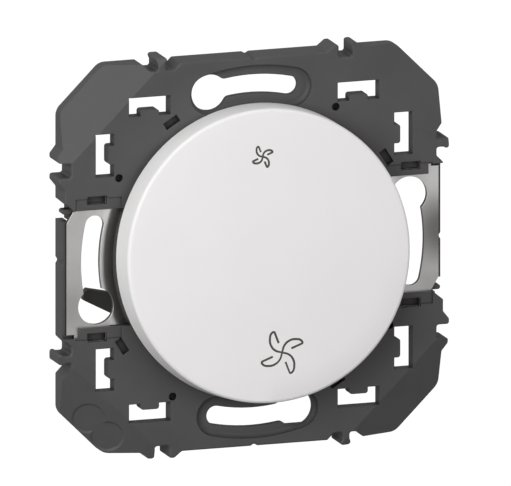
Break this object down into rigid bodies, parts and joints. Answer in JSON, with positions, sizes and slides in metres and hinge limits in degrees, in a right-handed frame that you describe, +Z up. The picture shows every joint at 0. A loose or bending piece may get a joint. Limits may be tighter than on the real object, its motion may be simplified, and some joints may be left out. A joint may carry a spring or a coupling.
{
  "type": "two-position rocker switch",
  "caption": "Round push cap rocking on a square mounting frame with curved screw slots, steel side plates and a rear contact housing, for choosing a ventilation speed.",
  "frame": {"origin": "middle of the wall plane, behind the centre of the square frame", "axes": "+Z up, +X to the right seen from the front, -Y out of the wall towards the user, +Y into the wall"},
  "size_m": [0.0722, 0.0393, 0.0722],
  "materials": {
    "frame_plastic": "satin",
    "plate_steel": "satin",
    "cap_plastic": "satin",
    "cradle_plastic": "satin",
    "housing_plastic": "matte",
    "terminal_brass": "satin",
    "contact_silver": "satin",
    "spring_steel": "satin",
    "screw_steel": "satin",
    "pusher_plastic": "satin"
  },
  "bodies": {
    "mechanism": {"mounting_frame": "frame_plastic", "steel_plate_left": "plate_steel", "steel_plate_right": "plate_steel", "mechanism_housing": "housing_plastic", "mechanism_cover": "housing_plastic", "housing_screws": "screw_steel", "common_terminal": "terminal_brass", "low_speed_terminal": "terminal_brass", "high_speed_terminal": "terminal_brass", "fixed_contact_tips": "contact_silver", "clamp_spring_common": "spring_steel", "clamp_spring_low": "spring_steel", "clamp_spring_high": "spring_steel"},
    "rocker": {"rocker_cap": "cap_plastic", "rocker_cradle": "cradle_plastic", "plunger": "cradle_plastic", "plunger_spring": "spring_steel"},
    "see_saw": {"contact_blade": "terminal_brass", "moving_contact_tips": "contact_silver"},
    "common_pusher": {"release_pusher_common": "pusher_plastic"},
    "low_pusher": {"release_pusher_low": "pusher_plastic"},
    "high_pusher": {"release_pusher_high": "pusher_plastic"}
  },
  "joints": [
    {"name": "rocker_turn", "type": "hinge", "parent": "mechanism", "child": "rocker", "pos_m": [0, -0.0013, 0], "axis": [1, 0, 0], "range_deg": [0, 9.6]},
    {"name": "see_saw_turn", "type": "hinge", "parent": "mechanism", "child": "see_saw", "pos_m": [0, 0.0099, 0], "axis": [1, 0, 0], "range_deg": [-8, 0]},
    {"name": "common_release", "type": "slide", "parent": "mechanism", "child": "common_pusher", "axis": [0, -1, 0], "range_m": [0, 0.0012], "stiffness_N_per_m": 1500, "springref_m": -0.0005, "deforming": ["clamp_spring_common"]},
    {"name": "low_release", "type": "slide", "parent": "mechanism", "child": "low_pusher", "axis": [0, -1, 0], "range_m": [0, 0.0012], "stiffness_N_per_m": 1500, "springref_m": -0.0005, "deforming": ["clamp_spring_low"]},
    {"name": "high_release", "type": "slide", "parent": "mechanism", "child": "high_pusher", "axis": [0, -1, 0], "range_m": [0, 0.0012], "stiffness_N_per_m": 1500, "springref_m": -0.0005, "deforming": ["clamp_spring_high"]}
  ],
  "couplings": [
    {"joint": "see_saw_turn", "follows": "rocker_turn", "ratio": -0.8333}
  ]
}
